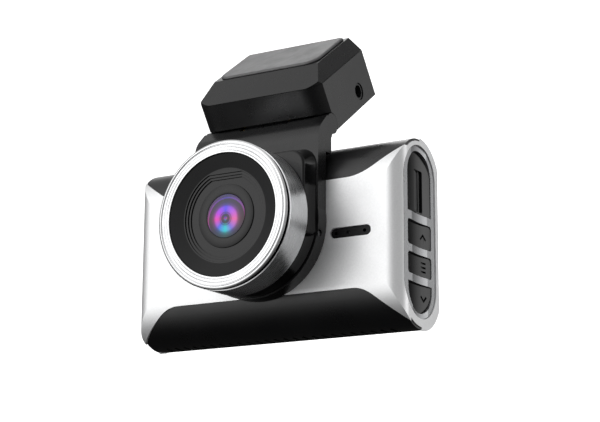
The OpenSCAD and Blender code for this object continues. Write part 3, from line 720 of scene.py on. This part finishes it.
# the microphone's insert takes the darker, matt cone material, painted shade that stands in for the depth
# of its hole, so it stays dark
soften("mic_grille", 0.06).data.materials[0] = MATERIALS["black_cone"]


# ---- stage and light ----
FLOOR_DROP = 0.34  # m below the object's origin
FLOOR_R = 1.6  # m
DOME_R = 6  # m


def stage_mesh(name, bm, colour, rough):
    """A scenery object that isn't part of the camera, and its shader."""
    mesh = bpy.data.meshes.new(name)
    bm.to_mesh(mesh)
    bm.free()
    obj = bpy.data.objects.new(name, mesh)
    bpy.context.scene.collection.objects.link(obj)
    s = Shader(name)
    s.tint(s.noise(3, 2), tuple(c * 0.985 for c in colour), colour)
    s.link(s.span(s.noise(8, 2), rough - 0.05, rough + 0.05), s.bsdf.inputs["Roughness"])
    obj.data.materials.append(s.mat)
    return obj, s


def floor():
    """Pale floor that throws no light back up, so the underside stays dark."""
    bm = bmesh.new()
    bmesh.ops.create_circle(bm, cap_ends=True, segments=96, radius=FLOOR_R)
    bmesh.ops.translate(bm, verts=bm.verts, vec=(0, 0, -FLOOR_DROP))
    obj, s = stage_mesh("floor", bm, (0.82, 0.82, 0.82), 0.7)
    s.bsdf.inputs["Emission Color"].default_value = (1, 1, 1, 1)
    s.bsdf.inputs["Emission Strength"].default_value = 0.4
    obj.visible_diffuse = False
    obj.visible_glossy = False


def backdrop():
    """White dome that only the camera sees, so it whitens the view without lighting the object."""
    bm = bmesh.new()
    bmesh.ops.create_uvsphere(bm, u_segments=48, v_segments=24, radius=DOME_R)
    obj, s = stage_mesh("backdrop", bm, (1, 1, 1), 0.9)
    s.bsdf.inputs["Emission Color"].default_value = (1, 1, 1, 1)
    s.bsdf.inputs["Emission Strength"].default_value = 1.05
    obj.visible_diffuse = False
    obj.visible_glossy = False
    obj.visible_transmission = False
    obj.visible_shadow = False


def lobe(tree, direction, towards, sharpness, strength):
    """A soft patch of light in the surroundings, brightest towards one direction."""
    dot = tree.nodes.new("ShaderNodeVectorMath")
    dot.operation = "DOT_PRODUCT"
    dot.inputs[1].default_value = Vector(towards).normalized()
    tree.links.new(direction, dot.inputs[0])
    ahead = tree.nodes.new("ShaderNodeMath")
    ahead.operation = "MAXIMUM"
    ahead.inputs[1].default_value = 0.0
    tree.links.new(dot.outputs["Value"], ahead.inputs[0])
    power = tree.nodes.new("ShaderNodeMath")
    power.operation = "POWER"
    power.inputs[1].default_value = sharpness
    tree.links.new(ahead.outputs["Value"], power.inputs[0])
    scaled = tree.nodes.new("ShaderNodeMath")
    scaled.operation = "MULTIPLY"
    scaled.inputs[1].default_value = strength
    tree.links.new(power.outputs["Value"], scaled.inputs[0])
    return scaled.outputs["Value"]


# soft panels of light: direction, how tight, how strong
PANELS = [
    ((-0.45, -0.85, 0.27), 4.0, 1.9),  # front left
    ((-0.2, 0.0, 1.0), 3.0, 0.65),  # overhead
    ((0.75, 0.65, 0.15), 16.0, 1.9),  # right, behind
    ((0.95, -0.3, 0.2), 3.0, 0.38),  # right
    ((-0.3, 0.7, 0.65), 28.0, 3.0),  # high, behind
]
AMBIENT = 0.03


def world():
    """Dim studio lit only by the soft panels."""
    w = bpy.data.worlds.new("studio")
    bpy.context.scene.world = w
    w.use_nodes = True
    tree = w.node_tree
    direction = tree.nodes.new("ShaderNodeTexCoord").outputs["Generated"]
    total = None
    for towards, sharpness, strength in PANELS:
        light = lobe(tree, direction, towards, sharpness, strength)
        if total is None:
            total = light
            continue
        add = tree.nodes.new("ShaderNodeMath")
        add.operation = "ADD"
        tree.links.new(total, add.inputs[0])
        tree.links.new(light, add.inputs[1])
        total = add.outputs["Value"]
    base = tree.nodes.new("ShaderNodeMath")
    base.operation = "ADD"
    base.inputs[1].default_value = AMBIENT
    tree.links.new(total, base.inputs[0])
    background = tree.nodes["Background"]
    background.inputs["Color"].default_value = (1, 1, 1, 1)
    tree.links.new(base.outputs["Value"], background.inputs["Strength"])


floor()
backdrop()
world()

scene = bpy.context.scene
scene.view_settings.view_transform = "Standard"
